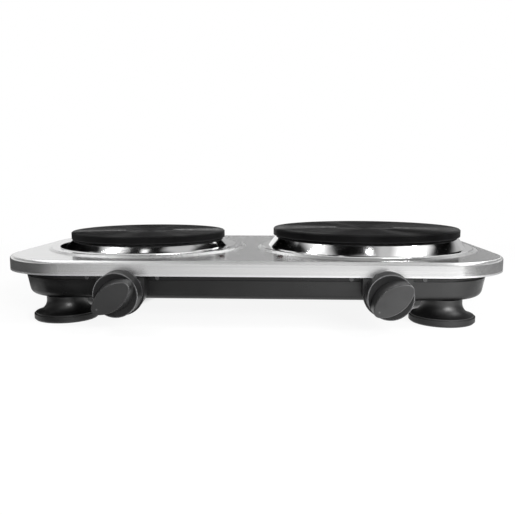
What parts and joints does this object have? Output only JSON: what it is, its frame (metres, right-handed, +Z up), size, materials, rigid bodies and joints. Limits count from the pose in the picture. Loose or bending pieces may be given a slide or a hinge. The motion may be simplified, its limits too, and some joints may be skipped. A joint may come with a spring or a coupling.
{
  "type": "double electric hot plate",
  "caption": "Low stainless steel electric cooker: a large and a small round cast-iron plate in chrome rings on a black moulded base with front bar-grip knobs and flared feet.",
  "frame": {"origin": "on the standing surface, below the middle of the appliance's box, knobs included", "axes": "+X to the user's right, +Y away from the user, +Z up"},
  "size_m": [0.454, 0.268, 0.0767],
  "materials": {
    "stainless_top": "brushed",
    "polished_ring": "polished",
    "plate_iron": "matt sealed",
    "black_base": "satin",
    "black_knob": "satin",
    "black_foot": "satin",
    "foot_rubber": "matt",
    "zinc_steel": "zinc plated",
    "black_screw": "blackened",
    "shield_steel": "galvanised",
    "heater_pack": "packed magnesia",
    "terminal_ceramic": "glazed",
    "brass_contact": "plain",
    "thermostat_case": "moulded",
    "block_plastic": "moulded",
    "gland_rubber": "matt",
    "lamp_lens": "gloss",
    "live_insulation": "matt",
    "neutral_insulation": "matt",
    "switched_insulation": "matt",
    "earth_insulation": "matt"
  },
  "bodies": {
    "housing": {"base_pan": "black_base", "block_screws": "zinc_steel", "clamp_nuts": "zinc_steel", "clamp_washers": "zinc_steel", "cord_gland": "gland_rubber", "cover_brackets": "zinc_steel", "cover_screws": "black_screw", "earth_lead": "earth_insulation", "earth_tag": "zinc_steel", "foot_screws": "zinc_steel", "front_left_foot": "black_foot", "front_left_foot_pad": "foot_rubber", "front_right_foot": "black_foot", "front_right_foot_pad": "foot_rubber", "heat_shield": "shield_steel", "lamp_leads": "switched_insulation", "large_heater": "heater_pack", "large_hotplate": "plate_iron", "large_plate_cover": "zinc_steel", "large_strap": "zinc_steel", "large_stud": "zinc_steel", "large_terminal": "terminal_ceramic", "large_trim_ring": "polished_ring", "left_pilot_lamp": "lamp_lens", "left_thermostat": "thermostat_case", "live_leads": "live_insulation", "neutral_leads": "neutral_insulation", "rear_left_foot": "black_foot", "rear_left_foot_pad": "foot_rubber", "rear_right_foot": "black_foot", "rear_right_foot_pad": "foot_rubber", "right_pilot_lamp": "lamp_lens", "right_thermostat": "thermostat_case", "shield_screws": "zinc_steel", "small_heater": "heater_pack", "small_hotplate": "plate_iron", "small_plate_cover": "zinc_steel", "small_strap": "zinc_steel", "small_stud": "zinc_steel", "small_terminal": "terminal_ceramic", "small_trim_ring": "polished_ring", "switched_leads": "switched_insulation", "terminal_block": "block_plastic", "terminal_pins": "brass_contact", "thermostat_screws": "zinc_steel", "thermostat_tabs": "brass_contact", "top_cover": "stainless_top"},
    "left_control": {"left_knob": "black_knob", "left_knob_clip": "zinc_steel", "left_spindle": "zinc_steel"},
    "right_control": {"right_knob": "black_knob", "right_knob_clip": "zinc_steel", "right_spindle": "zinc_steel"}
  },
  "joints": [
    {"name": "left_knob_turn", "type": "hinge", "parent": "housing", "child": "left_control", "pos_m": [-0.1092, -0.105, 0.0304], "axis": [0, 1, 0], "range_deg": [0, 270]},
    {"name": "right_knob_turn", "type": "hinge", "parent": "housing", "child": "right_control", "pos_m": [0.1158, -0.105, 0.0304], "axis": [0, 1, 0], "range_deg": [0, 270]}
  ]
}
